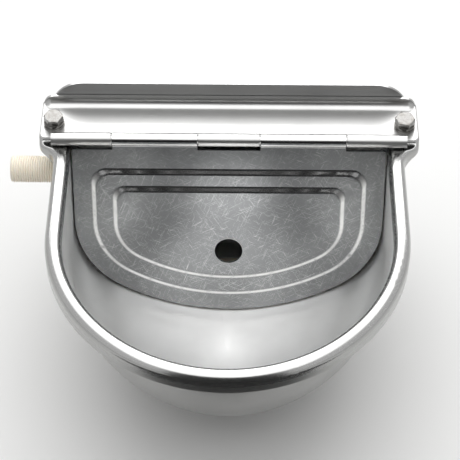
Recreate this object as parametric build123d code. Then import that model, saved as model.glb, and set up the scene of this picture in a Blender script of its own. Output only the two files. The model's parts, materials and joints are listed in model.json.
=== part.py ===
from build123d import *
import math
import os

# Wall-hung livestock drinking bowl with a float valve behind a hinged lid, in millimetres.
# Origin: on the wall face, at mid width, level with the rim.
# +X is to the right, +Y goes into the wall, +Z is up. The front of the bowl is towards -Y.

# Bowl sheet and its inside form
bowl_sheet = 2.0
inside_half_width = 119.5
inside_depth = 142.0
corner_radius = 58.0
floor_radius = 195.0
front_arc_y = -124.5
front_fullness = 2.2
front_draw = 80.0
back_bend_radius = 20.0
straight_steps = 5
corner_steps = 6
floor_steps = (0.84, 0.66, 0.48, 0.31, 0.16, 0.06)

# Rolled rim, and the flat ears that carry the cover plate
bead_width = 12.0
bead_drop = 15.0
bead_flat = 0.2
rim_root = 13.0
ear_reach = 11.5
ear_drop = 5.0
ear_inner_bend = 4.0
ear_outer_bend = 3.0
ear_corner_behind_hinge = 3.0
rim_step_gap = 2.45
rim_step_down = 5.3
rim_step_length = 5.5
ear_corner_radius = 6.0
neck_radius = 12.0
neck_steps = 11

# Back plate
back_plate_reach = 4.5
back_plate_top = 21.0
back_plate_corner = 26.0
wall_hole_spacing = 160.0
wall_hole_radius = 4.5
wall_hole_drop = 45.0

# Cover plate, which is also the fixed leaf of the hinge
cover_sheet = 2.0
cover_inset = 1.5
cover_wall_gap = 0.3
cover_upstand = 9.5
cover_upstand_corner = 9.0
cover_bend_inside = 1.5
cover_tab_corner = 4.0

# Hinge
hinge_y = -41.0
pin_radius = 3.0
pin_clearance = 0.05
pin_end_chamfer = 0.375
knuckle_gap = 0.9
knuckle_clearance = 0.9
centre_knuckle = 45.6
lid_knuckle = 63.8
tab_width = 8.4
tab_slit = 0.5
tab_setback = 0.5

# Lid
lid_sheet = 2.0
lid_slope = 71.0
lid_gap = 1.2
lid_notch = 8.3
lid_corner = 2.5
lid_corner_share = 1.15
lid_floor_share = 0.9
emboss_height = 1.8
emboss_width = 5.0
emboss_steps = 4
outer_emboss_inset = 13.0
outer_emboss_top = 24.0
outer_emboss_corner = 12.0
emboss_thinning = 0.6
inner_emboss_inset = 29.0
inner_emboss_top = 38.0
inner_emboss_corner = 9.0
finger_hole_radius = 10.75
finger_hole_at = 94.0

# M8 cover bolts
bolt_inset = 11.0
bolt_y = -26.5
bolt_turns = (0.0, -10.0)
bolt_radius = 4.0
bolt_length = 20.0
bolt_hole_radius = 4.5
hex_across_flats = 13.0
hex_head_height = 5.3
hex_head_chamfer = 0.6
hex_head_chamfer_in = 1.1
bolt_end_chamfer = 0.8
hex_nut_height = 6.5
thread_clearance = 0.05
washer_radius = 8.0
washer_bore = 4.2
washer_height = 1.6
spring_washer_radius = 7.4
spring_washer_bore = 4.1
spring_washer_height = 2.2
spring_washer_slit = 1.4
spring_washer_slit_turn = 25.0
spring_washer_slit_share = 0.8

# Inlet fitting: half-inch pipe thread
inlet_y = -33.0
inlet_z = -41.0
inlet_thread_radius = 10.48
inlet_hole_clearance = 0.3
inlet_seat_margin = 1.0
inlet_tail_length = 37.0
inlet_relief = 2.0
inlet_relief_depth = 1.2
inlet_end_chamfer = 1.8
inlet_bore = 6.5
inlet_flange_radius = 16.0
inlet_flange = 4.0
inlet_gasket = 2.0
inlet_washer = 1.5
inlet_washer_radius = 15.0
inlet_nut_across_flats = 27.0
inlet_nut = 8.0
strainer_wall = 0.8
strainer_length = 22.0
strainer_fit = 0.1
strainer_slots = 8
strainer_slot_width = 1.6
strainer_slot_at = 0.55
strainer_slot_share = 0.6

# Float valve
valve_body_radius = 13.0
valve_body_length = 21.0
piston_radius = 8.0
piston_clearance = 0.1
piston_length = 26.0
seat_radius = 4.5
seat_bore = 2.5
seat_height = 2.0
seal_thickness = 2.0
seal_gap = 0.05
lever_length = 13.0
pivot_reach = 8.0
pivot_pin_radius = 2.0
lug_gap = 12.4
lug_thickness = 3.4
lug_radius = 5.0
lug_root = 4.0
finger_thickness = 5.0
finger_neck = 3.0
finger_clearance = 0.3
finger_width = 6.0
finger_front_room = 1.0
finger_window = 2.5
arm_hub_radius = 4.6
arm_hub_width = 12.0
arm_rod_radius = 3.0
float_drop = 18.0
float_x = 26.0
float_radius = 19.0
float_length = 80.0
float_end_round = 7.0
float_socket = 14.0
socket_spare = 1.0
float_nut_across_flats = 10.0
float_nut = 5.0

# Drain
drain_y = -56.0
drain_pad_radius = 22.0
drain_pad_drop = 0.5
drain_thread_radius = 10.48
drain_length = 24.0
drain_bore = 8.0
drain_flange_radius = 17.0
drain_flange = 3.0
drain_flange_chamfer = 1.0
drain_gasket = 2.0
drain_nut_across_flats = 27.0
drain_nut = 7.0
cap_radius = 14.0
cap_height = 11.0
cap_wall = 2.0
cap_clearance = 0.3
cap_ribs = 16
cap_rib_radius = 0.8

# Sizes that follow
bead_half_width = inside_half_width + bead_width
bead_bend = (bead_width - bead_flat) / 2
ear_half_width = bead_half_width + ear_reach
back_plate_half_width = bead_half_width + back_plate_reach
cover_half_width = ear_half_width - cover_inset
bolt_x = ear_half_width - bolt_inset
hinge_z = cover_sheet / 2
knuckle_radius = pin_radius + pin_clearance + cover_sheet
lid_knuckle_start = centre_knuckle / 2 + knuckle_gap
outer_knuckle_start = lid_knuckle_start + lid_knuckle + knuckle_gap
hinge_end = cover_half_width - tab_width
ear_front_y = hinge_y + ear_corner_behind_hinge
ear_flat_y = hinge_y + knuckle_radius + rim_step_gap
tab_front_y = hinge_y + tab_setback
wall_inner_x = -inside_half_width
wall_outer_x = wall_inner_x - bowl_sheet
locknut_x = wall_outer_x - inlet_washer - inlet_nut
inlet_end_x = locknut_x - inlet_tail_length
flange_x = wall_inner_x + inlet_gasket
valve_root_x = flange_x + inlet_flange
valve_end_x = valve_root_x + valve_body_length
pivot_x = valve_end_x + pivot_reach
pivot_z = inlet_z - lever_length
piston_end_x = pivot_x + finger_thickness
piston_start_x = piston_end_x - piston_length
float_start_x = float_x - float_length / 2
piston_travel = lever_length * math.radians(float_drop)
chamber_x = piston_start_x - seal_gap - seat_height
pad_top = -inside_depth - drain_pad_drop
pad_bottom = pad_top - bowl_sheet

inlet_axis = Plane(origin=(0, inlet_y, inlet_z), x_dir=(0, 1, 0), z_dir=(1, 0, 0))
lid_tilt = math.radians(lid_slope)
lid_stretch = 1 / math.sin(lid_tilt)
lid_half_width = inside_half_width - lid_gap
lid_plane = Plane(
    origin=(0, hinge_y, hinge_z),
    x_dir=(1, 0, 0),
    z_dir=(0, -math.sin(lid_tilt), math.cos(lid_tilt)),
)


# Shared helpers

def tube_along_x(radius, x_from, x_to, y, z):
    """Solid cylinder between two X positions."""
    length = x_to - x_from
    turned = Rotation(0, 90, 0) * Cylinder(radius, length)
    return Pos((x_from + x_to) / 2, y, z) * turned


def inlet_round(radius, x_from, x_to):
    """Solid cylinder on the inlet's axis."""
    return tube_along_x(radius, x_from, x_to, inlet_y, inlet_z)


def upright(radius, x, y, z_from, z_to):
    """Solid vertical cylinder between two heights."""
    return Pos(x, y, (z_from + z_to) / 2) * Cylinder(radius, z_to - z_from)


def block(x_from, x_to, y_from, y_to, z_from, z_to):
    """Box between two corners."""
    centre = Pos((x_from + x_to) / 2, (y_from + y_to) / 2, (z_from + z_to) / 2)
    return centre * Box(x_to - x_from, y_to - y_from, z_to - z_from)


def hex_prism(across_flats, height):
    """Hexagonal prism that stands on Z = 0, with two flats facing front and back."""
    outline = RegularPolygon(across_flats / 2, 6, major_radius=False)
    return extrude(outline, height)


def mirrored(shape):
    """The same shape on the other side of the bowl."""
    return mirror(shape, Plane.YZ)


# Bowl form

def u_section(half_width, depth, corner, floor):
    """Centres and join angle of a U made of a corner arc and a floor arc, tangent all the way."""
    side = half_width - corner
    reach = floor - corner
    corner_depth = depth - floor + math.sqrt(reach**2 - side**2)
    return side, corner_depth, math.acos(side / reach)


def section_point(turn, grow):
    """Half width and depth on the bowl's U-shaped section, moved outwards by grow.

    turn 0 to 1 runs down the corner arc, and 1 to 2 along the floor arc to mid width.
    """
    side, corner_depth, join = u_section(inside_half_width, inside_depth, corner_radius, floor_radius)
    if turn <= 1:
        angle = turn * join
        radius = corner_radius + grow
        return side + radius * math.cos(angle), corner_depth + radius * math.sin(angle)
    angle = join + (turn - 1) * (math.pi / 2 - join)
    radius = floor_radius + grow
    return radius * math.cos(angle), inside_depth - floor_radius + radius * math.sin(angle)


def bowl_plan(half_width, depth, grow):
    """Plan of the bowl at one depth: straight sides, and half an ellipse at the front.

    The ellipse's centre moves back evenly as the bowl gets deeper, so the sides are drawn in.
    """
    share = (depth - rim_root) / (inside_depth + grow - rim_root)
    drawn = front_draw * share
    arc_y = front_arc_y + drawn
    full = inside_half_width + grow
    reach = drawn + full * (1 - share**front_fullness) ** (1 / front_fullness)
    back = bowl_sheet * 3
    right_back = Vector(half_width, back, -depth)
    right = Vector(half_width, arc_y, -depth)
    left = Vector(-half_width, arc_y, -depth)
    left_back = Vector(-half_width, back, -depth)
    front = EllipticalCenterArc((0, arc_y), half_width, reach, 180, arc_size=180)
    edges = [
        Line(left_back, left),
        Pos(0, 0, -depth) * front,
        Line(right, right_back),
        Line(right_back, left_back),
    ]
    return Face(Wire(edges))


def bowl_form(grow, back_y):
    """Solid form of the bowl below the rim, moved outwards by grow, up to a flat back."""
    straight = section_point(0, grow)
    fall = (straight[1] - rim_root) / straight_steps
    sections = [(straight[0], rim_root + step * fall) for step in range(straight_steps)]
    sections += [section_point(step / corner_steps, grow) for step in range(corner_steps + 1)]
    sections += [section_point(2 - share, grow) for share in floor_steps]
    plans = [bowl_plan(width, depth, grow) for width, depth in sections]
    return loft(plans) & side_form(grow, back_y)


def side_form(grow, back_y):
    """Side view of the bowl as a wide slab, with the bend from floor to back wall."""
    depth = inside_depth + grow
    length = 2 * depth
    outline = Pos(back_y - length / 2, -depth / 2) * Rectangle(length, depth)
    low_back = outline.vertices().sort_by(Axis.Y)[:2].sort_by(Axis.X)[-1]
    outline = fillet(low_back, back_bend_radius + grow)
    width = inside_half_width + grow + 1
    side = Plane(origin=(-width, 0, 0), x_dir=(0, 1, 0), z_dir=(1, 0, 0)) * outline
    return extrude(side, 2 * width, dir=(1, 0, 0))


def rim_strip(outer_x, inner_bend, outer_bend, drop, y, low):
    """Section of the bent rim sheet on the right side at one Y, with its top low under Z = 0."""
    wall = inside_half_width
    sheet = bowl_sheet
    root = rim_root - low
    across = (outer_x - outer_bend, wall + inner_bend)
    edges = [
        Line((wall, -root), (wall, -inner_bend)),
        CenterArc((across[1], -inner_bend), inner_bend, 180, -90),
        Line((across[1], 0), (across[0], 0)),
        CenterArc((across[0], -outer_bend), outer_bend, 90, -90),
        Line((outer_x, -outer_bend), (outer_x, -drop)),
        Line((outer_x, -drop), (outer_x - sheet, -drop)),
        Line((outer_x - sheet, -drop), (outer_x - sheet, -outer_bend)),
        CenterArc((across[0], -outer_bend), outer_bend - sheet, 0, 90),
        Line((across[0], -sheet), (across[1], -sheet)),
        CenterArc((across[1], -inner_bend), inner_bend - sheet, 90, 90),
        Line((wall + sheet, -inner_bend), (wall + sheet, -root)),
        Line((wall + sheet, -root), (wall, -root)),
    ]
    upright_plane = Plane(origin=(0, y, -low), x_dir=(1, 0, 0), z_dir=(0, -1, 0))
    return upright_plane * Face(Wire(edges))


def bead_strip(y):
    """Rim section where the sheet is rolled into the round bead."""
    return rim_strip(bead_half_width, bead_bend, bead_bend, bead_drop, y, rim_step_down)


def ear_strip(y):
    """Rim section where the sheet lies flat as an ear."""
    return rim_strip(ear_half_width, ear_inner_bend, ear_outer_bend, ear_drop, y, 0)


def neck_turn():
    """Angle through which the rim's outer edge turns between ear and bead."""
    step_in = ear_half_width - bead_half_width
    return math.acos(1 - step_in / (ear_corner_radius + neck_radius))


def neck_end_y():
    """Where the neck has become the bead."""
    return ear_front_y - (ear_corner_radius + neck_radius) * math.sin(neck_turn())


def rim_edge(y):
    """Half width of the rim's outer edge along the neck: two tangent arcs."""
    turn = neck_turn()
    ahead = ear_front_y - y
    if ahead <= 0:
        return ear_half_width
    if ahead <= ear_corner_radius * math.sin(turn):
        return ear_half_width - ear_corner_radius + math.sqrt(ear_corner_radius**2 - ahead**2)
    behind = y - neck_end_y()
    return bead_half_width + neck_radius - math.sqrt(neck_radius**2 - behind**2)


def neck_strips():
    """Rim sections from ear to bead: the top steps down under the hinge, then the edge turns in."""
    strips = []
    length = ear_flat_y - neck_end_y()
    for step in range(neck_steps + 1):
        y = ear_flat_y - length * step / neck_steps
        x = rim_edge(y)
        turned = (ear_half_width - x) / (ear_half_width - bead_half_width)
        stepped = min(1, (ear_flat_y - y) / rim_step_length)
        low = rim_step_down * stepped * stepped * (3 - 2 * stepped)
        inner_bend = ear_inner_bend + turned * (bead_bend - ear_inner_bend)
        outer_bend = ear_outer_bend + turned * (bead_bend - ear_outer_bend)
        drop = ear_drop + turned * (bead_drop - ear_drop)
        strips.append(rim_strip(x, inner_bend, outer_bend, drop, y, low))
    return strips


def rim_side():
    """Right half of the rim's straight run: ear, neck and bead."""
    ear = extrude(ear_strip(0), -ear_flat_y, dir=(0, -1, 0))
    neck = loft(neck_strips())
    bead = extrude(bead_strip(neck_end_y()), neck_end_y() - front_arc_y, dir=(0, -1, 0))
    return ear, neck, bead


def rim_front():
    """The bead's half circle round the front."""
    centre = Axis((0, front_arc_y, 0), (0, 0, 1))
    return revolve(bead_strip(front_arc_y), centre, -180)


def back_plate():
    """Flat sheet that stands up behind the rim and goes against the wall."""
    height = 2 * back_plate_corner
    outline = Pos(0, back_plate_top - height / 2) * Rectangle(2 * back_plate_half_width, height)
    outline = fillet(outline.vertices().group_by(Axis.Y)[-1], back_plate_corner)
    standing = Plane(origin=(0, 0, 0), x_dir=(1, 0, 0), z_dir=(0, -1, 0)) * outline
    sheet = extrude(standing, bowl_sheet, dir=(0, -1, 0))
    half = back_plate_half_width
    sheet &= block(-half, half, -bowl_sheet, 0, -bowl_sheet, back_plate_top)
    foot = inside_half_width + bowl_sheet
    return sheet + block(-foot, foot, -bowl_sheet, 0, -rim_root, -bowl_sheet)


def floor_above(height, radius):
    """Round column from the drain pad up into the bowl."""
    return upright(radius, 0, drain_y, height, -inside_depth / 2)


def drain_pad():
    """Flat round seat for the drain, pressed into the floor, with the short wall round it."""
    top = pad_top + 2 * bowl_sheet
    wall = upright(drain_pad_radius, 0, drain_y, pad_top, top)
    wall -= upright(drain_pad_radius - bowl_sheet, 0, drain_y, pad_top, top)
    return upright(drain_pad_radius, 0, drain_y, pad_bottom, pad_top) + wall


def inlet_seats():
    """The two slices that are pressed flat where the inlet's flange and washer clamp the wall."""
    radius = inlet_flange_radius + inlet_seat_margin
    outside = inlet_round(radius, wall_outer_x - inlet_seat_margin, wall_outer_x)
    return outside + inlet_round(radius, wall_inner_x, wall_inner_x + inlet_seat_margin)


def bowl_shell():
    """Bowl, rim, ears and back plate: one drawn and bent sheet."""
    inside = bowl_form(0, -bowl_sheet)
    shell = bowl_form(bowl_sheet, 0) - inside - inlet_seats()
    shell -= floor_above(pad_bottom, drain_pad_radius - bowl_sheet)
    shell += drain_pad() - inside
    ear, neck, bead = rim_side()
    for piece in (ear, neck, bead):
        shell += piece
        shell += mirrored(piece)
    shell += rim_front()
    shell += back_plate()
    for side in (-1, 1):
        shell -= upright(bolt_hole_radius, side * bolt_x, bolt_y, -rim_root, 1)
        hole = Rotation(90, 0, 0) * Cylinder(wall_hole_radius, 4 * bowl_sheet)
        shell -= Pos(side * wall_hole_spacing / 2, 0, -wall_hole_drop) * hole
    inlet_hole = inlet_thread_radius + inlet_hole_clearance
    shell -= inlet_round(inlet_hole, wall_outer_x - 1, wall_inner_x + 1)
    drain_hole = drain_thread_radius + inlet_hole_clearance
    shell -= upright(drain_hole, 0, drain_y, pad_bottom - 1, pad_top + 1)
    return shell


# Cover plate and hinge

def knuckle(x_from, x_to):
    """One rolled hinge knuckle, still without its bore."""
    return tube_along_x(knuckle_radius, x_from, x_to, hinge_y, hinge_z)


def hinge_bore(x_from, x_to):
    """Bore for the hinge pin."""
    return tube_along_x(pin_radius + pin_clearance, x_from, x_to, hinge_y, hinge_z)


def cover_profile():
    """Side view of the bent cover plate."""
    back = -bowl_sheet - cover_wall_gap
    flat = Pos((back + tab_front_y) / 2, cover_sheet / 2) * Rectangle(back - tab_front_y, cover_sheet)
    upstand = Pos(back - cover_sheet / 2, cover_upstand / 2) * Rectangle(cover_sheet, cover_upstand)
    outline = flat + upstand
    inner = outline.vertices().filter_by_position(Axis.Y, cover_sheet, cover_sheet)
    inner = inner.sort_by(Axis.X)[-1]
    outline = fillet(inner, cover_bend_inside)
    outer = outline.vertices().filter_by_position(Axis.Y, 0, 0).sort_by(Axis.X)[-1]
    return fillet(outer, cover_bend_inside + cover_sheet)


def upstand_limit(bend_y):
    """Slab that the upstand may fill, with its two rounded top corners."""
    height = 2 * cover_upstand
    outline = Pos(0, cover_upstand - height / 2) * Rectangle(2 * cover_half_width, height)
    outline = fillet(outline.vertices().group_by(Axis.Y)[-1], cover_upstand_corner)
    standing = Plane(origin=(0, 0, 0), x_dir=(1, 0, 0), z_dir=(0, -1, 0)) * outline
    return extrude(standing, -bend_y, dir=(0, -1, 0))


def cover_plate():
    """Bent plate that closes the float chamber and carries the fixed knuckles."""
    half = cover_half_width
    side = Plane(origin=(-half, 0, 0), x_dir=(0, 1, 0), z_dir=(1, 0, 0)) * cover_profile()
    plate = extrude(side, 2 * half, dir=(1, 0, 0))
    bend_y = -bowl_sheet - cover_wall_gap - cover_sheet - cover_bend_inside
    plate = (plate - block(-half, half, bend_y, 0, -1, cover_upstand)) + (plate & upstand_limit(bend_y))
    front = plate.edges().filter_by(Axis.Z).group_by(Axis.Y)[0]
    plate = fillet(front, cover_tab_corner)
    window_back = hinge_y + knuckle_radius + knuckle_clearance
    for side in (-1, 1):
        ends = sorted((side * (lid_knuckle_start - knuckle_gap), side * outer_knuckle_start))
        plate -= block(ends[0], ends[1], tab_front_y - 1, window_back, -1, cover_sheet + 1)
        slit = sorted((side * hinge_end, side * (hinge_end + tab_slit)))
        plate -= block(slit[0], slit[1], tab_front_y - 1, window_back, -1, cover_sheet + 1)
        ends = sorted((side * outer_knuckle_start, side * hinge_end))
        plate += knuckle(ends[0], ends[1])
        plate -= upright(bolt_hole_radius, side * bolt_x, bolt_y, -1, cover_sheet + 1)
    plate += knuckle(-centre_knuckle / 2, centre_knuckle / 2)
    return plate - hinge_bore(-hinge_end, hinge_end)


def hinge_pin():
    """Round pin through all the knuckles."""
    pin = tube_along_x(pin_radius, -hinge_end, hinge_end, hinge_y, hinge_z)
    return chamfer(pin.edges(), pin_end_chamfer)


# Lid, drawn flat in its own plane: X across, -Y down the lid, Z towards the front

def lid_down(depth):
    """Distance down the lid at a depth below the rim."""
    return (depth + hinge_z - lid_sheet / 2 * math.cos(lid_tilt)) * lid_stretch


def lid_outline(inset, top, top_corner):
    """Face shaped like the bowl's section in the lid's plane, drawn in by inset."""
    half = lid_half_width - inset
    bottom = lid_down(inside_depth - lid_gap) - inset
    corner = corner_radius * lid_corner_share - lid_gap - inset
    floor = floor_radius * lid_floor_share - lid_gap - inset
    side, corner_down, join = u_section(half, bottom, corner, floor)
    turn = math.degrees(join)
    edges = [
        Line((-half, -top), (half, -top)),
        Line((half, -top), (half, -corner_down)),
        CenterArc((side, -corner_down), corner, 0, -turn),
        CenterArc((0, floor - bottom), floor, -turn, 2 * turn - 180),
        CenterArc((-side, -corner_down), corner, turn - 180, -turn),
        Line((-half, -corner_down), (-half, -top)),
    ]
    face = Face(Wire(edges))
    return fillet(face.vertices().group_by(Axis.Y)[-1], top_corner)


def emboss(inset, top, corner, low, thin):
    """Raised panel with S-shaped sides, starting at a height above the lid's plane."""
    layers = []
    for step in range(emboss_steps + 1):
        share = step / emboss_steps
        drawn_in = emboss_width * share + thin
        outline = lid_outline(inset + drawn_in, top + drawn_in, corner)
        layers.append(Pos(0, 0, low + emboss_height * share * share * (3 - 2 * share)) * outline)
    return loft(layers)


def lid():
    """Hinged lid: pressed sheet with two raised steps, knuckles and a finger hole."""
    half_sheet = lid_sheet / 2
    flat = Pos(0, 0, -half_sheet) * lid_outline(0, lid_notch, lid_corner)
    sheet = extrude(flat, lid_sheet, dir=(0, 0, 1))
    steps = (
        (outer_emboss_inset, outer_emboss_top, outer_emboss_corner, 0),
        (inner_emboss_inset, inner_emboss_top, inner_emboss_corner, emboss_height),
    )
    for inset, top, corner, low in steps:
        sheet += emboss(inset, top, corner, half_sheet + low, 0)
    for inset, top, corner, low in steps:
        sheet -= emboss(inset, top, corner, low - half_sheet, emboss_thinning)
    hole = Cylinder(finger_hole_radius, 8 * lid_sheet)
    sheet -= Pos(0, -finger_hole_at, 0) * hole
    for side in (-1, 1):
        ends = sorted((side * lid_knuckle_start, side * (lid_knuckle_start + lid_knuckle)))
        tongue = block(ends[0], ends[1], -lid_notch - lid_corner, 0, -half_sheet, half_sheet)
        sheet += tongue
    sheet = lid_plane * sheet
    for side in (-1, 1):
        ends = sorted((side * lid_knuckle_start, side * (lid_knuckle_start + lid_knuckle)))
        sheet += knuckle(ends[0], ends[1])
    return sheet - hinge_bore(-hinge_end, hinge_end)


# Fasteners of the cover plate

def on_both_ears(piece, z):
    """Two copies of a piece, one on each bolt's axis, turned as the bolts are."""
    places = zip((-bolt_x, bolt_x), bolt_turns)
    return [Pos(x, bolt_y, z) * (Rotation(0, 0, turn) * piece) for x, turn in places]


def hex_head_bolt():
    """Hex bolt whose head stands on Z = 0, with the head's top edge chamfered."""
    head = hex_prism(hex_across_flats, hex_head_height)
    reach = hex_across_flats / math.sqrt(3)
    cone = Pos(0, 0, hex_head_height / 2) * Cylinder(reach, hex_head_height)
    cone = chamfer(cone.edges().group_by(Axis.Z)[-1], length=hex_head_chamfer, length2=hex_head_chamfer_in)
    shank = Pos(0, 0, -bolt_length / 2) * Cylinder(bolt_radius, bolt_length)
    return (head & cone) + chamfer(shank.edges().group_by(Axis.Z)[0], bolt_end_chamfer)


def spring_washer():
    """Split spring washer, standing on Z = 0."""
    ring = Cylinder(spring_washer_radius, spring_washer_height)
    ring -= Cylinder(spring_washer_bore, spring_washer_height)
    slit = Pos(spring_washer_radius * spring_washer_slit_share, 0, 0)
    slit *= Rotation(spring_washer_slit_turn, 0, 0)
    ring -= slit * Box(spring_washer_radius, spring_washer_slit, 2 * spring_washer_height)
    return Pos(0, 0, spring_washer_height / 2) * ring


def flat_ring(radius, bore, height):
    """Plain ring, standing on Z = 0."""
    ring = Cylinder(radius, height) - Cylinder(bore, height)
    return Pos(0, 0, height / 2) * ring


def hex_nut(across_flats, height, bore):
    """Hex nut, standing on Z = 0."""
    nut = hex_prism(across_flats, height)
    return nut - Pos(0, 0, height / 2) * Cylinder(bore, height)


# Inlet fitting and float valve

def inlet_tail():
    """Tail that the supply pipe screws onto, with a relief groove outside the locknut's thread."""
    tail = inlet_round(inlet_thread_radius, inlet_end_x, flange_x)
    tail = chamfer(tail.edges().group_by(Axis.X)[0], inlet_end_chamfer)
    groove = inlet_round(inlet_thread_radius, locknut_x - inlet_relief, locknut_x)
    core = inlet_thread_radius - inlet_relief_depth
    return tail - (groove - inlet_round(core, locknut_x - inlet_relief, locknut_x))


def inlet_body():
    """Plastic fitting: threaded tail, flange, valve chamber and the lugs for the arm."""
    body = inlet_tail() + inlet_round(inlet_flange_radius, flange_x, valve_root_x)
    body += inlet_round(valve_body_radius, valve_root_x, valve_end_x)
    body -= inlet_round(piston_radius + piston_clearance, chamber_x, valve_end_x)
    body += inlet_round(seat_radius, chamber_x - seat_height, chamber_x + seat_height)
    body -= inlet_round(inlet_bore, inlet_end_x, flange_x)
    body -= inlet_round(seat_bore, flange_x, chamber_x + seat_height)
    for side in (-1, 1):
        body += valve_lug(side)
    pin_hole = Rotation(90, 0, 0) * Cylinder(pivot_pin_radius + pin_clearance, 4 * lug_gap)
    return body - Pos(pivot_x, inlet_y, pivot_z) * pin_hole


def valve_lug(side):
    """Ear that carries one end of the arm's pivot pin."""
    y = inlet_y + side * (lug_gap + lug_thickness) / 2
    eye = Rotation(90, 0, 0) * Cylinder(lug_radius, lug_thickness)
    lug = Pos(pivot_x, y, pivot_z) * eye
    low = pivot_z - lug_radius
    high = inlet_z - piston_clearance
    lug += block(
        valve_end_x - lug_root, pivot_x, y - lug_thickness / 2, y + lug_thickness / 2, low, high
    )
    return lug - inlet_round(piston_radius + finger_clearance, valve_root_x, pivot_x + lug_radius)


def valve_piston():
    """Piston that carries the seal, with a slot for the arm's finger."""
    start = piston_start_x + seal_thickness
    piston = inlet_round(piston_radius, start, piston_end_x)
    half_slot = finger_thickness / 2 + finger_clearance
    half_width = finger_width / 2 + finger_clearance
    window = block(
        pivot_x - half_slot, pivot_x + half_slot,
        inlet_y - half_width, inlet_y + half_width,
        inlet_z - piston_radius, inlet_z + half_slot,
    )
    wide = block(
        pivot_x - finger_thickness - finger_front_room, piston_end_x,
        inlet_y - half_width, inlet_y + half_width,
        inlet_z - piston_radius, inlet_z - finger_window,
    )
    return piston - window - wide


def float_arm():
    """Arm with its pivot hub, the finger that works the piston, and the rod to the float."""
    eye = Rotation(90, 0, 0) * Cylinder(arm_hub_radius, arm_hub_width)
    arm = Pos(pivot_x, inlet_y, pivot_z) * eye
    half_width = finger_width / 2
    arm += block(
        pivot_x - finger_neck / 2, pivot_x + finger_neck / 2,
        inlet_y - half_width, inlet_y + half_width, pivot_z, inlet_z,
    )
    tip = Rotation(90, 0, 0) * Cylinder(finger_thickness / 2, finger_width)
    arm += Pos(pivot_x, inlet_y, inlet_z) * tip
    end = float_start_x + float_socket
    arm += tube_along_x(arm_rod_radius, pivot_x, end, inlet_y, pivot_z)
    bore = Rotation(90, 0, 0) * Cylinder(pivot_pin_radius + pin_clearance, 2 * arm_hub_width)
    return arm - Pos(pivot_x, inlet_y, pivot_z) * bore


def float_body():
    """Closed float: a cylinder with rounded ends and a socket for the rod."""
    end = float_start_x + float_length
    body = tube_along_x(float_radius, float_start_x, end, inlet_y, pivot_z)
    body = fillet(body.edges().filter_by(GeomType.CIRCLE), float_end_round)
    socket = arm_rod_radius + thread_clearance
    socket_end = float_start_x + float_socket + socket_spare
    return body - tube_along_x(socket, float_start_x, socket_end, inlet_y, pivot_z)


def float_nut_piece():
    """Locknut on the rod against the float."""
    nut = hex_nut(float_nut_across_flats, float_nut, arm_rod_radius + thread_clearance)
    return Pos(float_start_x - float_nut, inlet_y, pivot_z) * (Rotation(0, 90, 0) * nut)


def dropped(piece):
    """Turns the arm's pieces about the pivot to where the float hangs in an empty bowl."""
    return piece.rotate(Axis((pivot_x, inlet_y, pivot_z), (0, 1, 0)), float_drop)


def opened(piece):
    """Moves the piston's pieces to where the hanging arm holds them, off the seat."""
    return Pos(piston_travel, 0, 0) * piece


def on_inlet(piece, x):
    """Puts a piece that stands on Z = 0 onto the inlet's axis, growing towards +X."""
    return Pos(x, inlet_y, inlet_z) * (Rotation(0, 90, 0) * piece)


def arm_pivot_pin():
    """Pin through both lugs and the arm's hub."""
    length = lug_gap + 2 * lug_thickness
    pin = Rotation(90, 0, 0) * Cylinder(pivot_pin_radius, length)
    return Pos(pivot_x, inlet_y, pivot_z) * pin


def inlet_strainer():
    """Slotted cup in the mouth of the inlet."""
    radius = inlet_bore - strainer_fit
    cup = Pos(0, 0, strainer_length / 2) * Cylinder(radius, strainer_length)
    hollow = Cylinder(radius - strainer_wall, strainer_length)
    cup -= Pos(0, 0, strainer_length / 2 - strainer_wall) * hollow
    for turn in range(strainer_slots):
        slot = Pos(radius, 0, strainer_length * strainer_slot_at)
        window = Box(2 * radius, strainer_slot_width, strainer_length * strainer_slot_share)
        cup -= Rotation(0, 0, turn * 360 / strainer_slots) * (slot * window)
    return cup


# Drain

def drain_fitting():
    """Flanged plastic tube through the floor."""
    top = pad_top + drain_gasket + drain_flange
    tube_top = pad_top + drain_gasket
    body = upright(drain_flange_radius, 0, drain_y, tube_top, top)
    body = chamfer(body.edges().group_by(Axis.Z)[-1], drain_flange_chamfer)
    body += upright(drain_thread_radius, 0, drain_y, tube_top - drain_length, tube_top)
    return body - upright(drain_bore, 0, drain_y, tube_top - drain_length - 1, top + 1)


def drain_cap():
    """Ribbed cap that closes the drain's lower end."""
    end = pad_top + drain_gasket - drain_length
    floor = end - cap_wall - cap_clearance
    cap = upright(cap_radius, 0, drain_y, floor, floor + cap_height)
    inside = drain_thread_radius + cap_clearance
    cap -= upright(inside, 0, drain_y, floor + cap_wall, floor + cap_height + 1)
    for turn in range(cap_ribs):
        angle = 2 * math.pi * turn / cap_ribs
        x = cap_radius * math.cos(angle)
        y = drain_y + cap_radius * math.sin(angle)
        cap += upright(cap_rib_radius, x, y, floor, floor + cap_height)
    return cap


# Export

def cover_fastener_parts():
    """Bolts, washers and nuts of the cover plate, stacked from the plate upwards."""
    spring_z = cover_sheet + washer_height
    head_z = spring_z + spring_washer_height
    nut = hex_nut(hex_across_flats, hex_nut_height, bolt_radius + thread_clearance)
    ring = flat_ring(washer_radius, washer_bore, washer_height)
    return {
        "cover_bolts": on_both_ears(hex_head_bolt(), head_z),
        "cover_spring_washers": on_both_ears(spring_washer(), spring_z),
        "cover_washers": on_both_ears(ring, cover_sheet),
        "cover_nuts": on_both_ears(nut, -bowl_sheet - hex_nut_height),
    }


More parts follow.
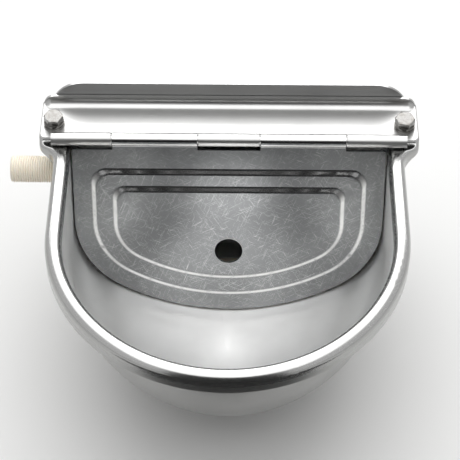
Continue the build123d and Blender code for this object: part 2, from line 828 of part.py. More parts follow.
def inlet_parts():
    """Inlet fitting and what clamps it in the wall."""
    hole = inlet_thread_radius + inlet_hole_clearance
    gasket = flat_ring(inlet_flange_radius, hole, inlet_gasket)
    washer = flat_ring(inlet_washer_radius, hole, inlet_washer)
    nut = hex_nut(inlet_nut_across_flats, inlet_nut, inlet_thread_radius + thread_clearance)
    return {
        "inlet_body": inlet_body(),
        "inlet_gasket": on_inlet(gasket, wall_inner_x),
        "inlet_washer": on_inlet(washer, wall_outer_x - inlet_washer),
        "inlet_locknut": on_inlet(nut, locknut_x),
        "inlet_strainer": on_inlet(inlet_strainer(), inlet_end_x),
    }


def float_valve_parts():
    """Piston, arm and float, as they hang in an empty bowl."""
    seal = inlet_round(piston_radius, piston_start_x, piston_start_x + seal_thickness)
    return {
        "valve_piston": opened(valve_piston()),
        "piston_seal": opened(seal),
        "arm_pivot_pin": arm_pivot_pin(),
        "float_arm": dropped(float_arm()),
        "float_nut": dropped(float_nut_piece()),
        "float_body": dropped(float_body()),
    }


def drain_parts():
    """Drain fitting, what clamps it in the floor, and its cap."""
    hole = drain_thread_radius + inlet_hole_clearance
    gasket = flat_ring(drain_flange_radius, hole, drain_gasket)
    nut = hex_nut(drain_nut_across_flats, drain_nut, drain_thread_radius + thread_clearance)
    return {
        "drain_gasket": Pos(0, drain_y, pad_top) * gasket,
        "drain_fitting": drain_fitting(),
        "drain_locknut": Pos(0, drain_y, pad_bottom - drain_nut) * nut,
        "drain_cap": drain_cap(),
    }


def parts():
    """Every sub-part by name."""
    plates = {
        "bowl_shell": bowl_shell(),
        "cover_plate": cover_plate(),
        "hinge_pin": hinge_pin(),
        "lid": lid(),
    }
    return plates | cover_fastener_parts() | inlet_parts() | float_valve_parts() | drain_parts()


def main():
    os.makedirs("parts", exist_ok=True)
    for name, shape in parts().items():
        if isinstance(shape, list):
            shape = Compound(shape)
        export_step(shape, f"parts/{name}.step")


main()
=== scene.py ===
import json
import math
import bmesh
import bpy
import numpy as np
from mathutils import Matrix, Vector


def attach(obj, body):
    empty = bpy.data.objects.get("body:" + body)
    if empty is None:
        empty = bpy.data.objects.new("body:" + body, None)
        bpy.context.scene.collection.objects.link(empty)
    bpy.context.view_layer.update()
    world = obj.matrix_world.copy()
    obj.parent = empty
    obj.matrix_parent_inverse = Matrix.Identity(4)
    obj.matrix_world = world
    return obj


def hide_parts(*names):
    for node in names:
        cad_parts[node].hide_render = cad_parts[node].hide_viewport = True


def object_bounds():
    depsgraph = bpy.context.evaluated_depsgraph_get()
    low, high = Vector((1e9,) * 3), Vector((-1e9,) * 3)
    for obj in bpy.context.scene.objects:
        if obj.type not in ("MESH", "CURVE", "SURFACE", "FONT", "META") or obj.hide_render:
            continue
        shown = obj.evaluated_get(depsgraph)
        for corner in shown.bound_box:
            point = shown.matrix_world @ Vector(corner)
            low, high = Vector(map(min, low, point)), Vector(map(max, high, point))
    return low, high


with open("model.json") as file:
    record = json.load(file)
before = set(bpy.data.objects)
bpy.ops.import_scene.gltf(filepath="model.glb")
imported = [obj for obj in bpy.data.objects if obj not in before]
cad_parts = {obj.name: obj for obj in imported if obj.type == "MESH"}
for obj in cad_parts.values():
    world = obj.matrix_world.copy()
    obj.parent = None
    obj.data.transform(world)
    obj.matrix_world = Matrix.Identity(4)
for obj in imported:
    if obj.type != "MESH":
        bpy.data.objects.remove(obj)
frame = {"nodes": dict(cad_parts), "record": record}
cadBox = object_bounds()
nodes = frame["nodes"]
print("frame loaded:", len(nodes), "nodes")

mm = 0.001
mergeGap = 0.002 * mm
cadMergeGap = 0.001 * mm
scene = bpy.context.scene


def linearColour(code):  # an sRGB hex colour as the linear RGBA that shaders take
    channels = [int(code[at:at + 2], 16) / 255 for at in (1, 3, 5)]
    linear = [c / 12.92 if c <= 0.04045 else ((c + 0.055) / 1.055) ** 2.4 for c in channels]
    return linear + [1.0]


def addNode(tree, kind, inputs=None, out=0, **settings):
    # adds one node and gives back one of its outputs; an input is a value or another node's output
    node = tree.nodes.new(kind)
    for name, value in settings.items():
        setattr(node, name, value)
    for name, value in (inputs or {}).items():
        if isinstance(value, bpy.types.NodeSocket):
            tree.links.new(value, node.inputs[name])
        else:
            node.inputs[name].default_value = value
    return node.outputs[out] if node.outputs else node


def newMaterial(name):
    # an empty material with its output and shader, whose colour and roughness come later
    material = bpy.data.materials.new(name)
    material.use_nodes = True
    tree = material.node_tree
    tree.nodes.clear()
    surface = addNode(tree, "ShaderNodeBsdfPrincipled")
    addNode(tree, "ShaderNodeOutputMaterial", {"Surface": surface})
    return material, tree, surface.node


def grain(tree, turn, along, across, detail=3.0):
    # noise drawn out into streaks: along and across are the streak's length and width in mm, and
    # turn takes the X axis to the streaks' direction
    point = addNode(tree, "ShaderNodeTexCoord", out="Object")
    scale = (along * mm, across * mm, across * mm)
    spot = addNode(tree, "ShaderNodeMapping", {"Vector": point, "Rotation": turn, "Scale": scale},
                   vector_type="TEXTURE")
    return addNode(tree, "ShaderNodeTexNoise", {"Vector": spot, "Scale": 1.0, "Detail": detail})


scratchEdge = 0.04


def scratchMarks(tree, length, width, turns):
    # sparse hairline scratches: where any of several streaked noises comes near its peak, which is
    # from each turn's own level up to scratchEdge above it
    marks = 0.0
    for turn, cut in turns:
        streak = grain(tree, turn, length, width, 0.0)
        level = {"Value": streak, "From Min": cut, "From Max": cut + scratchEdge}
        line = addNode(tree, "ShaderNodeMapRange", level)
        marks = addNode(tree, "ShaderNodeMath", {0: line, 1: marks}, operation="MAXIMUM")
    return marks


def spread(value, low, high, toLow, toHigh):
    # the inputs of a Map Range node that spreads low to high over another range
    return {"Value": value, "From Min": low, "From Max": high, "To Min": toLow, "To Max": toHigh}


def finish(tree, shader, colour, roughness, height, depth):
    # joins colour, roughness and bump; depth is the relief's height in mm
    bump = addNode(tree, "ShaderNodeBump", {"Height": height, "Distance": depth * mm})
    for name, value in (("Base Color", colour), ("Roughness", roughness), ("Normal", bump)):
        tree.links.new(value, shader.inputs[name])


# In the finishes' settings lengths are in mm, and a pair whose name ends in From is the stretch of a
# value, such as a noise or a height, over which the look changes.
buffedSheet = {
    # the inside's near-white colour is a painted light, and the back plate's darker grey is a painted shade,
    # both on the same steel
    "colour": "#ABABAA", "insidePaintedLight": "#F8F8F7", "outsideColour": "#B0B0AF", "backPaintedShade": "#A0A0A0",
    "cover": 0.27, "bead": 0.19, "inside": 0.36, "outside": 0.28,
    "backPlateFrom": (-2.3, -2.1), "beadFootFrom": (-16.0, -12.5), "rimTopFrom": (-0.4, 0.4), "wallBand": 4.0,
    "middle": (0, -120.0, 0), "grainLength": 60.0, "grainWidth": 0.5, "grainFrom": (0.3, 0.7),
    "scratchLength": 16.0, "scratchWidth": 0.22, "scratchRough": 0.15,
    "scratches": (((0.2, 0.3, 0.7), 0.74), ((0.1, -0.4, -1.1), 0.75), ((0.3, 0.1, 1.5), 0.74)),
    "patch": 42.0, "patchDetail": 4.0, "patchFrom": (0.35, 0.65), "uneven": 0.02,
    "stain": 0.92, "stainFrom": (0.45, 0.75), "relief": 0.001,
}


def buffedSteel():
    # 304 stainless sheet, deep drawn and then buffed: glossiest on the rolled rim, a little softer on
    # the cover plate, and a satin down the inside, where the mop reaches less. The inside's near-white colour
    # is a painted light, the back plate's darker grey is a painted shade, and the outside keeps a plain steel
    # grey.
    # Faint rolling grain and hairline scratches cross it all.
    s = buffedSheet
    material, tree, shader = newMaterial("buffedStainlessSheet")
    shader.inputs["Metallic"].default_value = 1.0
    rolled = grain(tree, (0, 0, 0), s["grainLength"], s["grainWidth"])
    scratches = scratchMarks(tree, s["scratchLength"], s["scratchWidth"], s["scratches"])
    cloud = grain(tree, (0, 0, 0), s["patch"], s["patch"], s["patchDetail"])
    point = addNode(tree, "ShaderNodeTexCoord", out="Object")
    outward = addNode(tree, "ShaderNodeTexCoord", out="Normal")
    height = addNode(tree, "ShaderNodeSeparateXYZ", {"Vector": point}, out="Z")
    middle = tuple(value * mm for value in s["middle"])
    inward = addNode(tree, "ShaderNodeVectorMath", {0: middle, 1: point}, operation="SUBTRACT")
    facing = addNode(tree, "ShaderNodeVectorMath", {0: inward, 1: outward}, out="Value",
                     operation="DOT_PRODUCT")
    band = s["wallBand"] * mm
    inside = addNode(tree, "ShaderNodeMapRange", spread(facing, -band, band, 0.0, 1.0))
    (foot, neck), (low, high) = s["beadFootFrom"], s["rimTopFrom"]
    onBead = addNode(tree, "ShaderNodeMapRange", spread(height, foot * mm, neck * mm, 0.0, 1.0),
                     interpolation_type="SMOOTHSTEP")
    rough = addNode(tree, "ShaderNodeMapRange", spread(inside, 0.0, 1.0, s["outside"], s["inside"]))
    rough = addNode(tree, "ShaderNodeMix", {0: onBead, 2: rough, 3: s["bead"]})
    duller = s["cover"] - s["bead"]
    above = addNode(tree, "ShaderNodeMapRange", spread(height, low * mm, high * mm, 0.0, duller))
    for layer in (above,
                  addNode(tree, "ShaderNodeMapRange", spread(cloud, *s["patchFrom"], 0.0, s["uneven"])),
                  addNode(tree, "ShaderNodeMapRange", spread(rolled, *s["grainFrom"], 0.0, s["uneven"])),
                  addNode(tree, "ShaderNodeMapRange", spread(scratches, 0.0, 1.0, 0.0, s["scratchRough"]))):
        rough = addNode(tree, "ShaderNodeMath", {0: rough, 1: layer}, operation="ADD")
    # painted light: the inside faces are coloured near white, well above the outside's steel grey
    walls = addNode(tree, "ShaderNodeMix", {0: inside, 6: linearColour(s["outsideColour"]),
                                            7: linearColour(s["insidePaintedLight"])}, out=2, data_type="RGBA")
    colour = addNode(tree, "ShaderNodeMix", {0: onBead, 6: walls, 7: linearColour(s["colour"])},
                     out=2, data_type="RGBA")
    # painted shade: the back plate is coloured a darker grey than the outside
    behind = addNode(tree, "ShaderNodeSeparateXYZ", {"Vector": point}, out="Y")
    far, near = s["backPlateFrom"]
    onBack = addNode(tree, "ShaderNodeMapRange", spread(behind, far * mm, near * mm, 0.0, 1.0))
    colour = addNode(tree, "ShaderNodeMix", {0: onBack, 6: colour, 7: linearColour(s["backPaintedShade"])},
                     out=2, data_type="RGBA")
    rough = addNode(tree, "ShaderNodeMix", {0: onBack, 2: rough, 3: s["outside"]})
    shade = addNode(tree, "ShaderNodeMapRange", spread(cloud, *s["stainFrom"], 1.0, s["stain"]))
    colour = addNode(tree, "ShaderNodeMix", {0: 1.0, 6: colour, 7: shade}, out=2, data_type="RGBA",
                     blend_type="MULTIPLY")
    relief = addNode(tree, "ShaderNodeMath", {0: rolled, 1: scratches}, operation="SUBTRACT")
    finish(tree, shader, colour, rough, relief, s["relief"])
    return material


satinSheet = {
    # the lid's dark grey base colour is a painted shade, darker than this steel is
    "colour": "#6B6C6D", "dark": "#656667", "darkFrom": (0.38, 0.62), "scratchColour": "#A8A8A8",
    # the light step colour is a painted highlight on the pressed steps and cut edges, and it also colours the
    # knuckles
    "roughness": (0.17, 0.21), "roughFrom": (0.35, 0.65), "stepHighlightAndKnuckle": "#BCBCBB", "stepHighlightFrom": (0.98, 0.90),
    "hinge": (0, -41.0, 0.0), "knuckleFrom": (5.2, 4.6), "knuckleRough": 0.12,
    "grainLength": 30.0, "grainWidth": 0.5, "scratchLength": 11.0, "scratchWidth": 0.22, "scratchShow": 0.7,
    "scratches": ((0.5, 0.74), (-0.35, 0.75), (1.2, 0.75), (-1.0, 0.76)),
    "speck": 1.1, "speckDetail": 1.0, "speckFrom": (0.76, 0.80), "patch": 34.0, "patchDetail": 5.0,
    "relief": 0.0004, "tilt": math.radians(-71),
}


def satinSteel():
    # Stainless lid left with its mill finish: satin with short handling scratches and small pits. Its dark
    # grey colour is a painted shade, well below the steel's own. The pressed steps and the cut edges get a
    # painted highlight, and the knuckles take the same lighter colour.
    s = satinSheet
    material, tree, shader = newMaterial("millFinishSheetWithPaintedShade")
    shader.inputs["Metallic"].default_value = 1.0
    rolled = grain(tree, (-s["tilt"], 0, 0), s["grainLength"], s["grainWidth"])
    onLid = Matrix.Rotation(-s["tilt"], 3, "X")
    turns = [((onLid @ Matrix.Rotation(turn, 3, "Z")).to_euler(), cut)
             for turn, cut in s["scratches"]]
    marks = scratchMarks(tree, s["scratchLength"], s["scratchWidth"], turns)
    speckle = grain(tree, (0, 0, 0), s["speck"], s["speck"], s["speckDetail"])
    specks = addNode(tree, "ShaderNodeMapRange", spread(speckle, *s["speckFrom"], 0.0, 1.0))
    cloud = grain(tree, (0, 0, 0), s["patch"], s["patch"], s["patchDetail"])
    shade = addNode(tree, "ShaderNodeMapRange", spread(cloud, *s["darkFrom"], 0.0, 1.0))
    # painted shade: the lid's colour is kept far darker than the steel
    colour = addNode(tree, "ShaderNodeMix", {0: shade, 6: linearColour(s["colour"]),
                                             7: linearColour(s["dark"])}, out=2, data_type="RGBA")
    bright = addNode(tree, "ShaderNodeMath", {0: marks, 1: s["scratchShow"]}, operation="MULTIPLY")
    colour = addNode(tree, "ShaderNodeMix", {0: bright, 6: colour, 7: linearColour(s["scratchColour"])},
                     out=2, data_type="RGBA")
    flatWay = (0, math.sin(s["tilt"]), math.cos(s["tilt"]))
    outward = addNode(tree, "ShaderNodeTexCoord", out="Normal")
    flatness = addNode(tree, "ShaderNodeVectorMath", {0: outward, 1: flatWay}, out="Value",
                       operation="DOT_PRODUCT")
    flatness = addNode(tree, "ShaderNodeMath", {0: flatness}, operation="ABSOLUTE")
    # painted highlight: where the surface turns away from the lid's flat, at the pressed steps and cut edges
    stepped = addNode(tree, "ShaderNodeMapRange", spread(flatness, *s["stepHighlightFrom"], 0.0, 1.0))
    point = addNode(tree, "ShaderNodeTexCoord", out="Object")
    fromHinge = addNode(tree, "ShaderNodeVectorMath", {0: point, 1: tuple(v * mm for v in s["hinge"])},
                        operation="SUBTRACT")
    fromHinge = addNode(tree, "ShaderNodeVectorMath", {0: fromHinge, 1: (0, 1, 1)}, operation="MULTIPLY")
    reach = addNode(tree, "ShaderNodeVectorMath", {0: fromHinge}, out="Value", operation="LENGTH")
    outer, inner = s["knuckleFrom"]
    onKnuckle = addNode(tree, "ShaderNodeMapRange", spread(reach, outer * mm, inner * mm, 0.0, 1.0))
    # the painted step highlight and the knuckles share one lighter colour
    stepHighlightAndKnuckle = addNode(tree, "ShaderNodeMath", {0: stepped, 1: onKnuckle}, operation="MAXIMUM")
    colour = addNode(tree, "ShaderNodeMix", {0: stepHighlightAndKnuckle, 6: colour, 7: linearColour(s["stepHighlightAndKnuckle"])},
                     out=2, data_type="RGBA")
    rough = addNode(tree, "ShaderNodeMapRange", spread(cloud, *s["roughFrom"], *s["roughness"]))
    rough = addNode(tree, "ShaderNodeMix", {0: onKnuckle, 2: rough, 3: s["knuckleRough"]})
    worn = addNode(tree, "ShaderNodeMath", {0: marks, 1: specks}, operation="MAXIMUM")
    relief = addNode(tree, "ShaderNodeMath", {0: rolled, 1: worn}, operation="SUBTRACT")
    finish(tree, shader, colour, rough, relief, s["relief"])
    return material


boltSteelLook = {
    "colour": "#8A8987", "worn": "#73716E", "wornFrom": (0.42, 0.62),
    "roughness": (0.12, 0.26), "roughFrom": (0.35, 0.65), "patch": 3.2, "patchDetail": 5.0,
    "fleck": 0.7, "fleckStretch": 3, "fleckTurn": 0.6, "fleckDetail": 2.0, "dent": 0.4, "relief": 0.008,
}


def boltSteel():
    # cold-formed stainless fasteners: bright, with dull mottling and dents from the die
    s = boltSteelLook
    material, tree, shader = newMaterial("coldFormedStainlessSteel")
    shader.inputs["Metallic"].default_value = 1.0
    cloud = grain(tree, (0, 0, 0), s["patch"], s["patch"], s["patchDetail"])
    fleck = grain(tree, (0, 0, s["fleckTurn"]), s["fleck"] * s["fleckStretch"], s["fleck"], s["fleckDetail"])
    wear = addNode(tree, "ShaderNodeMapRange", spread(cloud, *s["wornFrom"], 0.0, 1.0))
    colour = addNode(tree, "ShaderNodeMix", {0: wear, 6: linearColour(s["colour"]),
                                             7: linearColour(s["worn"])}, out=2, data_type="RGBA")
    rough = addNode(tree, "ShaderNodeMapRange", spread(cloud, *s["roughFrom"], *s["roughness"]))
    dents = addNode(tree, "ShaderNodeMath", {0: fleck, 1: s["dent"]}, operation="MULTIPLY")
    relief = addNode(tree, "ShaderNodeMath", {0: cloud, 1: dents}, operation="ADD")
    finish(tree, shader, colour, rough, relief, s["relief"])
    return material


mouldedSkin = {
    "depthScale": 0.5, "patchDetail": 3.0, "mouldDetail": 2.0,
    "shadeFrom": (0.35, 0.65), "roughFrom": (0.3, 0.7),
}
ivoryNylon = mouldedSkin | {
    "name": "naturalNylon", "colour": "#F5EEE0", "shade": "#EEE5D4", "roughness": (0.36, 0.50), "ior": 1.53,
    "glow": 0.15, "depth": (0.004, 0.003, 0.002), "patch": 14.0, "mould": 0.5, "relief": 0.01,
}
whitePolythene = mouldedSkin | {
    "name": "blowMouldedPolythene", "colour": "#EDEDE9", "shade": "#DEDED8", "roughness": (0.31, 0.44),
    "ior": 1.51, "glow": 0.2, "depth": (0.006, 0.005, 0.004), "patch": 20.0, "mould": 0.9, "relief": 0.015,
}


def mouldedPlastic(s):
    # Nylon injection moulded in its natural ivory, or polythene blown into a milky white float:
    # faintly cloudy, with some light under the skin and the fine pebble of the mould.
    material, tree, shader = newMaterial(s["name"])
    shader.inputs["IOR"].default_value = s["ior"]
    shader.inputs["Subsurface Weight"].default_value = s["glow"]
    shader.inputs["Subsurface Radius"].default_value = s["depth"]
    shader.inputs["Subsurface Scale"].default_value = s["depthScale"]
    cloud = grain(tree, (0, 0, 0), s["patch"], s["patch"], s["patchDetail"])
    pebble = grain(tree, (0, 0, 0), s["mould"], s["mould"], s["mouldDetail"])
    shade = addNode(tree, "ShaderNodeMapRange", spread(cloud, *s["shadeFrom"], 0.0, 1.0))
    colour = addNode(tree, "ShaderNodeMix", {0: shade, 6: linearColour(s["colour"]),
                                             7: linearColour(s["shade"])}, out=2, data_type="RGBA")
    rough = addNode(tree, "ShaderNodeMapRange", spread(cloud, *s["roughFrom"], *s["roughness"]))
    finish(tree, shader, colour, rough, pebble, s["relief"])
    return material


nitrile = {
    "colour": "#1B1B1A", "dust": "#2E2D2B", "dustFrom": (0.4, 0.7), "roughness": (0.55, 0.75),
    "roughFrom": (0.3, 0.7), "ior": 1.52, "patch": 2.5, "patchDetail": 5.0, "relief": 0.02,
}


def blackRubber():
    # pressed nitrile rubber: matt black with a dusty bloom
    s = nitrile
    material, tree, shader = newMaterial("nitrileRubber")
    shader.inputs["IOR"].default_value = s["ior"]
    cloud = grain(tree, (0, 0, 0), s["patch"], s["patch"], s["patchDetail"])
    bloom = addNode(tree, "ShaderNodeMapRange", spread(cloud, *s["dustFrom"], 0.0, 1.0))
    colour = addNode(tree, "ShaderNodeMix", {0: bloom, 6: linearColour(s["colour"]),
                                             7: linearColour(s["dust"])}, out=2, data_type="RGBA")
    rough = addNode(tree, "ShaderNodeMapRange", spread(cloud, *s["roughFrom"], *s["roughness"]))
    finish(tree, shader, colour, rough, cloud, s["relief"])
    return material


finishes = {
    "polished_steel": buffedSteel(),
    "satin_steel": satinSteel(),
    "fastener_steel": boltSteel(),
    "ivory_plastic": mouldedPlastic(ivoryNylon),
    "white_plastic": mouldedPlastic(whitePolythene),
    "black_rubber": blackRubber(),
}
slotOf = {row["node"]: row["material_slot"] for row in frame["record"]["subparts"]}
for name, node in nodes.items():
    for slot in node.material_slots:
        slot.material = finishes[slotOf[name]]
print("materials:", len(finishes))


def gridMesh(name, points, closedAcross=True, closedAlong=False):
    # a surface from a rows x columns x 3 array: neighbours in the grid make quads,
    # rows wrap round when closedAcross, and the last row meets the first when closedAlong
    rows, columns = points.shape[:2]
    index = np.arange(rows * columns).reshape(rows, columns)
    if closedAlong:
        index = np.vstack([index, index[:1]])
    if closedAcross:
        index = np.hstack([index, index[:, :1]])
    corners = [index[:-1, :-1], index[:-1, 1:], index[1:, 1:], index[1:, :-1]]
    quads = np.stack(corners, axis=-1).reshape(-1, 4)
    mesh = bpy.data.meshes.new(name)
    mesh.vertices.add(rows * columns)
    mesh.vertices.foreach_set("co", points.reshape(-1).astype(np.float32))
    mesh.loops.add(quads.size)
    mesh.loops.foreach_set("vertex_index", quads.reshape(-1).astype(np.int32))
    mesh.polygons.add(len(quads))
    mesh.polygons.foreach_set("loop_start", np.arange(0, quads.size, 4, dtype=np.int32))
    mesh.update(calc_edges=True)
    mesh.validate()
    return mesh


def newPiece(name, mesh, slot, body, sharp):
    # a finished object that rides on a body and takes its finish from a slot; its edges look sharp
    # where they bend by more than the angle sharp, in degrees
    work = bmesh.new()
    work.from_mesh(mesh)
    bmesh.ops.remove_doubles(work, verts=work.verts, dist=mergeGap)
    bmesh.ops.recalc_face_normals(work, faces=work.faces)
    work.to_mesh(mesh)
    work.free()
    mesh.materials.clear()
    mesh.materials.append(finishes[slot])
    mesh.shade_smooth()
    mesh.set_sharp_from_angle(angle=math.radians(sharp))
    piece = bpy.data.objects.new(name, mesh)
    scene.collection.objects.link(piece)
    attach(piece, body)
    return piece


def keptHalf(node, point, normal):
    # a merged copy of a CAD node's mesh, cut by a plane and closed there, without the side that the
    # normal points to
    mesh = nodes[node].data.copy()
    work = bmesh.new()
    work.from_mesh(mesh)
    bmesh.ops.remove_doubles(work, verts=work.verts, dist=cadMergeGap)
    geometry = work.verts[:] + work.edges[:] + work.faces[:]
    cut = bmesh.ops.bisect_plane(work, geom=geometry, plane_co=point, plane_no=normal, clear_outer=True)
    rim = [edge for edge in cut["geom_cut"] if isinstance(edge, bmesh.types.BMEdge)]
    bmesh.ops.edgeloop_fill(work, edges=rim)
    work.to_mesh(mesh)
    work.free()
    return mesh


inletTail = {
    "cut": -132.0 * mm, "end": -168.0 * mm, "y": -33.0 * mm, "z": -41.0 * mm,
    "root": 9.62 * mm, "crest": 10.48 * mm, "bore": 6.5 * mm, "pitch": 1.814 * mm, "chamfer": 1.3 * mm,
    "lip": 0.3 * mm, "around": 72, "perPitch": 10, "ridgeGain": 1.25, "ridgeDrop": 0.12,
    "fadeLength": 0.8, "endFade": 1.4, "threadSharp": 60, "fittingSharp": 35,
}


def threadedTube(s, length):
    # A threaded tube, as distance along it and the two distances across. Its outer radius is root plus
    # a ridge that climbs one pitch per turn: half of 1 + cos(along / pitch - angle / turn), raised,
    # lowered and clipped to flatten its crest and root. The ridge fades out at both ends. The skin then
    # turns in over the chamfer to the bore and back along it, so the tube is closed.
    root, crest, bore = s["root"], s["crest"], s["bore"]
    pitch, chamfer, lip = s["pitch"], s["chamfer"], s["lip"]
    along = np.linspace(0, length, max(2, int(length / pitch * s["perPitch"])))
    angle = np.linspace(0, 2 * math.pi, s["around"], endpoint=False)
    phase = along[:, None] / pitch - angle[None, :] / (2 * math.pi)
    ridge = 0.5 + 0.5 * np.cos(2 * math.pi * phase)
    ridge = np.clip(ridge * s["ridgeGain"] - s["ridgeDrop"], 0, 1)
    toEnd = np.minimum(along, (length - along) * s["endFade"])
    fade = np.clip(toEnd / (s["fadeLength"] * pitch), 0, 1)[:, None]
    radius = root + (crest - root) * ridge * fade
    limit = crest - np.clip(chamfer - (length - along), 0, None)[:, None]
    radius = np.minimum(radius, limit)
    rows = [(length, crest - chamfer), (length, bore + lip), (length - lip, bore), (0, bore), (0, root)]
    tail = np.array(rows)
    along = np.concatenate([along, tail[:, 0]])
    radius = np.vstack([radius, np.repeat(tail[:, 1:], s["around"], axis=1)])
    return np.stack([along[:, None] + 0 * radius, radius * np.cos(angle), radius * np.sin(angle)], axis=-1)


def makeInletTail():
    # the supply tail with its half-inch pipe thread, and the rest of the fitting as the solid has it
    s = inletTail
    skin = threadedTube(s, s["cut"] - s["end"])
    points = np.stack([s["cut"] - skin[..., 0], s["y"] + skin[..., 1], s["z"] + skin[..., 2]], axis=-1)
    thread = gridMesh("inletThread", points, closedAlong=True)
    tail = newPiece("inletThread", thread, "ivory_plastic", "bowl", s["threadSharp"])
    rest = keptHalf("inlet_body", (s["cut"], s["y"], s["z"]), (-1, 0, 0))
    fitting = newPiece("inletFitting", rest, "ivory_plastic", "bowl", s["fittingSharp"])
    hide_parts("inlet_body")
    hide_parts("inlet_body")


makeInletTail()


coverBend = {
    "upstandFace": -4.3 * mm, "plateTop": 2.0 * mm, "radius": 6.0 * mm, "sunk": 0.02 * mm,
    "halfWidth": 141.3 * mm, "corner": 9.0 * mm, "upstand": 9.5 * mm, "margin": 0.5 * mm,
    "cornerDepth": 0.2 * mm, "columns": 161, "rows": 17, "sharp": 50,
}


def makeCoverBend():
    # The wide inside bend between the cover plate and its upstand: a quarter circle carried along X,
    # y = face - radius (1 - sin turn) and z = plate + radius (1 - cos turn). Its radius shrinks towards
    # both ends, to stay below the upstand's rounded corners. A hidden corner sunk into both sheets
    # closes the section, and each end row shrinks to that corner's point.
    s = coverBend
    side = np.sin(np.linspace(-0.5, 0.5, s["columns"]) * math.pi) * s["halfWidth"]
    intoCorner = np.clip(s["corner"] - (s["halfWidth"] - np.abs(side)), 0, s["corner"])
    height = s["upstand"] - s["corner"] + np.sqrt(s["corner"] ** 2 - intoCorner ** 2)
    radius = np.clip(height - s["plateTop"] - s["margin"], 0, s["radius"])[:, None]
    turn = np.linspace(0, math.pi / 2, s["rows"])[None, :]
    y = s["upstandFace"] + s["sunk"] - radius * (1 - np.sin(turn))
    z = s["plateTop"] - s["sunk"] + radius * (1 - np.cos(turn))
    inCorner = np.full_like(radius, s["cornerDepth"])
    y = np.hstack([y, s["upstandFace"] + inCorner])
    z = np.hstack([z, s["plateTop"] - inCorner])
    points = np.stack([side[:, None] + 0 * y, y, z], axis=-1)
    points[[0, -1]] = points[[0, -1], -1:]
    newPiece("coverBend", gridMesh("coverBend", points), "polished_steel", "bowl", s["sharp"])


makeCoverBend()
print("pieces made")


stageLook = {
    "floorDrop": 1.2 * mm, "floorSize": 6.0, "floorColour": "#EEEEED", "matt": 0.9,
    "worldColour": "#FFFFFF", "world": 0.32, "seenWorld": 0.9,
    "glow": 1.85, "ceilingHeight": 1.35, "ceilingY": (-1.05, 2.2), "backY": 2.2, "backZ": (-0.10, 1.30),
    "lampHalfWidth": 0.95, "lowGlow": 6.0, "lowHalfWidth": 1.6, "lowY": (1.35, 2.1), "lowHeight": 1.2,
    "flagY": -0.62, "flagZ": (-0.16, 0.52), "matY": (-0.62, -0.30),
    "flagHalfWidth": 0.26, "flagColour": "#303030",
}


def flatSheet(name, corners, colour, roughness):
    # a four-cornered sheet of one plain colour that belongs to the stage
    mesh = bpy.data.meshes.new(name)
    mesh.from_pydata(corners, [], [(0, 1, 2, 3)])
    mesh.update()
    material, tree, shader = newMaterial(name)
    shader.inputs["Base Color"].default_value = linearColour(colour)
    shader.inputs["Roughness"].default_value = roughness
    mesh.materials.append(material)
    sheet = bpy.data.objects.new(name, mesh)
    scene.collection.objects.link(sheet)
    return sheet


def softPanel(name, middle, size, tilt, glow):
    # a large even lamp that the camera doesn't see; its power comes from its area and its glow
    lamp = bpy.data.lights.new(name, "AREA")
    lamp.shape = "RECTANGLE"
    lamp.size, lamp.size_y = size
    lamp.energy = glow * math.pi * size[0] * size[1]
    panel = bpy.data.objects.new(name, lamp)
    panel.location = middle
    panel.rotation_euler = (tilt, 0, 0)
    panel.visible_camera = False
    scene.collection.objects.link(panel)
    return panel


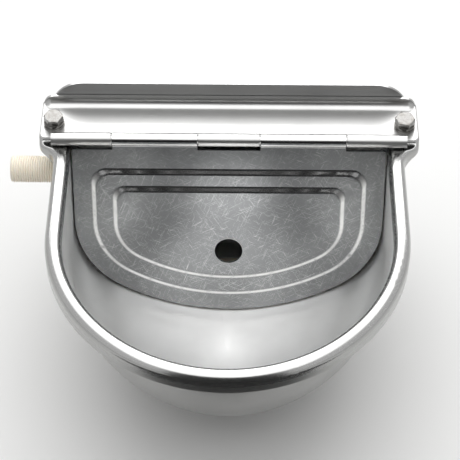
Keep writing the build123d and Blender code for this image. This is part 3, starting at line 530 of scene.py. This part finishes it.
def makeStage():
    # a wide pale floor just under the object, a large soft panel overhead and one behind, a third
    # below the ceiling at the back for the bowl's inside, and two dark cloths in front, one hung and
    # one laid; only reflections see that third panel and the cloths
    s = stageLook
    floorZ = cadBox[0][2] - s["floorDrop"]
    half = s["floorSize"] / 2
    square = [(-half, -half, floorZ), (half, -half, floorZ), (half, half, floorZ), (-half, half, floorZ)]
    flatSheet("paleFloor", square, s["floorColour"], s["matt"])
    wide, y = s["flagHalfWidth"], s["flagY"]
    bottom, top = s["flagZ"]
    near, far = s["matY"]
    hung = [(wide, y, bottom), (-wide, y, bottom), (-wide, y, top), (wide, y, top)]
    laid = [(-wide, near, bottom), (wide, near, bottom), (wide, far, bottom), (-wide, far, bottom)]
    for name, corners in (("hungCloth", hung), ("laidCloth", laid)):
        cloth = flatSheet(name, corners, s["flagColour"], s["matt"])
        cloth.visible_camera = False
        cloth.visible_diffuse = False
        cloth.visible_shadow = False
    near, far = s["ceilingY"]
    width = 2 * s["lampHalfWidth"]
    softPanel("ceilingPanel", (0, (near + far) / 2, s["ceilingHeight"]), (width, far - near), 0, s["glow"])
    near, far = s["lowY"]
    size = (2 * s["lowHalfWidth"], far - near)
    lowPanel = softPanel("lowPanel", (0, (near + far) / 2, s["lowHeight"]), size, 0, s["lowGlow"])
    lowPanel.visible_diffuse = False
    bottom, top = s["backZ"]
    middle = (0, s["backY"], (bottom + top) / 2)
    softPanel("backPanel", middle, (width, top - bottom), math.pi / -2, s["glow"])
    world = bpy.data.worlds.new("softRoom")
    scene.world = world
    world.use_nodes = True
    backing = world.node_tree.nodes["Background"]
    backing.inputs["Color"].default_value = linearColour(s["worldColour"])
    tree = world.node_tree
    fromCamera = addNode(tree, "ShaderNodeLightPath", out="Is Camera Ray")
    fromGloss = addNode(tree, "ShaderNodeLightPath", out="Is Glossy Ray")
    seen = addNode(tree, "ShaderNodeMath", {0: fromCamera, 1: fromGloss}, operation="MAXIMUM")
    strength = addNode(tree, "ShaderNodeMapRange", spread(seen, 0.0, 1.0, s["world"], s["seenWorld"]))
    tree.links.new(strength, backing.inputs["Strength"])


cameraPlace = {
    "position": (0.0098, -0.8746, 0.8632), "pitch": 49.18, "turn": 0.62, "lens": 125.2, "sensor": 36.0,
}


def makeCamera():
    # a long lens looking down at the bowl from the front
    s = cameraPlace
    lens = bpy.data.cameras.new("camera")
    lens.lens, lens.sensor_width = s["lens"], s["sensor"]
    camera = bpy.data.objects.new("camera", lens)
    camera.location = s["position"]
    camera.rotation_euler = (math.radians(90 - s["pitch"]), 0, math.radians(s["turn"]))
    scene.collection.objects.link(camera)
    scene.camera = camera
    scene.view_settings.view_transform = "Standard"


makeStage()
makeCamera()
print("stage, light and camera made")
